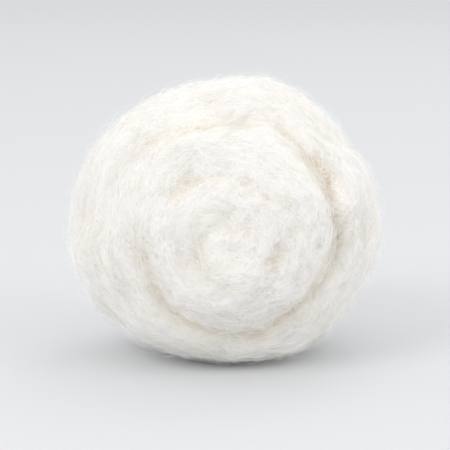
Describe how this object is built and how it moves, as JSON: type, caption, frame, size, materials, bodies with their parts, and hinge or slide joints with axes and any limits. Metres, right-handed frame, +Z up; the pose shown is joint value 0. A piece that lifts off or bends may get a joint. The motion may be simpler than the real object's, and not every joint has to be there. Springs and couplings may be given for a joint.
{
  "type": "cotton ball",
  "caption": "Soft round wad of rolled white cotton with a spiral crease on each end, for dabbing and wiping. It rests on a small flat spot on its side.",
  "frame": {"origin": "in the plane of the flat spot that the ball rests on, under the middle of the ball's box", "axes": "+Z up, +Y along the axis of the roll, away from the spiral end that faces the viewer"},
  "size_m": [0.0276, 0.0292, 0.0248],
  "materials": {
    "cotton": "matt matted fibre with a fine fuzz, warm white"
  },
  "bodies": {
    "root": {"cotton_ball": "cotton"}
  },
  "joints": []
}
